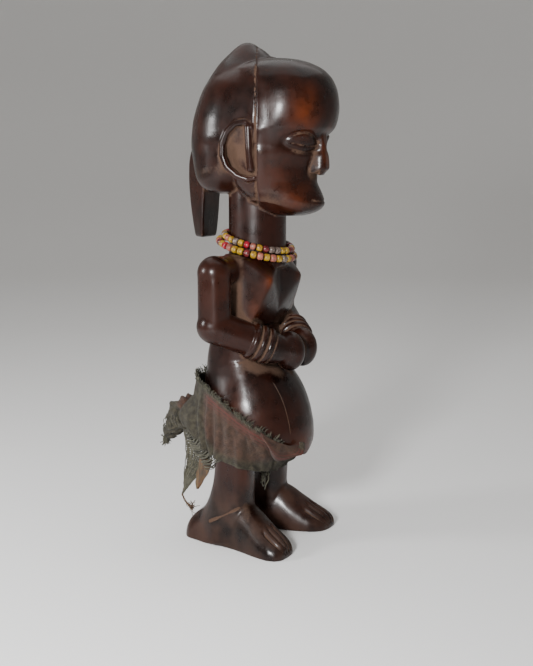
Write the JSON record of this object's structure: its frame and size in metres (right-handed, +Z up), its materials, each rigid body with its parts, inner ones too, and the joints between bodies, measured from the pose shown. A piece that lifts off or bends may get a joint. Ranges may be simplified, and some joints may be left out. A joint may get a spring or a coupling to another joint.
{
  "type": "fertility doll",
  "caption": "Carved wooden standing female figure with clasped fists, helmet-like hair, bead strands round the neck and a frayed cloth wrap on the hips.",
  "frame": {"origin": "middle of the bottom of the whole object, on the surface that the feet stand on", "axes": "+Z up, -Y the way the figure faces, +X towards the figure's own left hand"},
  "size_m": [0.104, 0.1142, 0.305],
  "materials": {
    "wood": "dark reddish-brown hardwood, rubbed to a gloss, with pale dust packed in the grooves",
    "ochre_glass": "opaque glossy glass, slightly worn",
    "red_glass": "glossy ruby red glass",
    "salmon_glass": "opaque pink glass, satin",
    "maroon_glass": "dark wine-coloured glass",
    "clear_glass": "cloudy colourless glass",
    "bead_string": "twisted plant-fibre string, dirty",
    "woven_cloth": "coarse hand-woven cloth, pinkish brown and dusty",
    "frayed_thread": "frayed olive-grey thread, netted and knotted",
    "fibre": "thin golden-brown strip of bark fibre"
  },
  "bodies": {
    "figure": {"carved_figure": "wood", "wrap_cloth": "woven_cloth", "knotted_corner": "woven_cloth", "netted_fringe": "frayed_thread", "front_tassel": "frayed_thread", "fibre_strip": "fibre"},
    "upper_strand": {"upper_bead_01": "ochre_glass", "upper_bead_02": "maroon_glass", "upper_bead_03": "ochre_glass", "upper_bead_04": "salmon_glass", "upper_bead_05": "red_glass", "upper_bead_06": "salmon_glass", "upper_bead_07": "ochre_glass", "upper_bead_08": "clear_glass", "upper_bead_09": "ochre_glass", "upper_bead_10": "red_glass", "upper_bead_11": "salmon_glass", "upper_bead_12": "ochre_glass", "upper_bead_13": "maroon_glass", "upper_bead_14": "ochre_glass", "upper_bead_15": "salmon_glass", "upper_bead_16": "red_glass", "upper_bead_17": "salmon_glass", "upper_bead_18": "ochre_glass", "upper_bead_19": "clear_glass", "upper_bead_20": "ochre_glass", "upper_bead_21": "red_glass", "upper_bead_22": "salmon_glass", "upper_bead_23": "ochre_glass", "upper_bead_24": "maroon_glass", "upper_bead_25": "ochre_glass", "upper_bead_26": "salmon_glass", "upper_string": "bead_string"},
    "lower_strand": {"lower_bead_01": "ochre_glass", "lower_bead_02": "maroon_glass", "lower_bead_03": "ochre_glass", "lower_bead_04": "salmon_glass", "lower_bead_05": "red_glass", "lower_bead_06": "salmon_glass", "lower_bead_07": "ochre_glass", "lower_bead_08": "clear_glass", "lower_bead_09": "ochre_glass", "lower_bead_10": "red_glass", "lower_bead_11": "salmon_glass", "lower_bead_12": "ochre_glass", "lower_bead_13": "maroon_glass", "lower_bead_14": "ochre_glass", "lower_bead_15": "salmon_glass", "lower_bead_16": "red_glass", "lower_bead_17": "salmon_glass", "lower_bead_18": "ochre_glass", "lower_bead_19": "clear_glass", "lower_bead_20": "ochre_glass", "lower_bead_21": "red_glass", "lower_bead_22": "salmon_glass", "lower_bead_23": "ochre_glass", "lower_bead_24": "maroon_glass", "lower_bead_25": "ochre_glass", "lower_bead_26": "salmon_glass", "lower_string": "bead_string"}
  },
  "joints": [
    {"name": "upper_strand_turn", "type": "hinge", "parent": "figure", "child": "upper_strand", "pos_m": [0, -0.00732, 0.18667], "axis": [0, -0.2419, 0.9703], "continuous": true},
    {"name": "lower_strand_turn", "type": "hinge", "parent": "figure", "child": "lower_strand", "pos_m": [0, -0.00626, 0.1824], "axis": [0, -0.2419, 0.9703], "continuous": true}
  ]
}
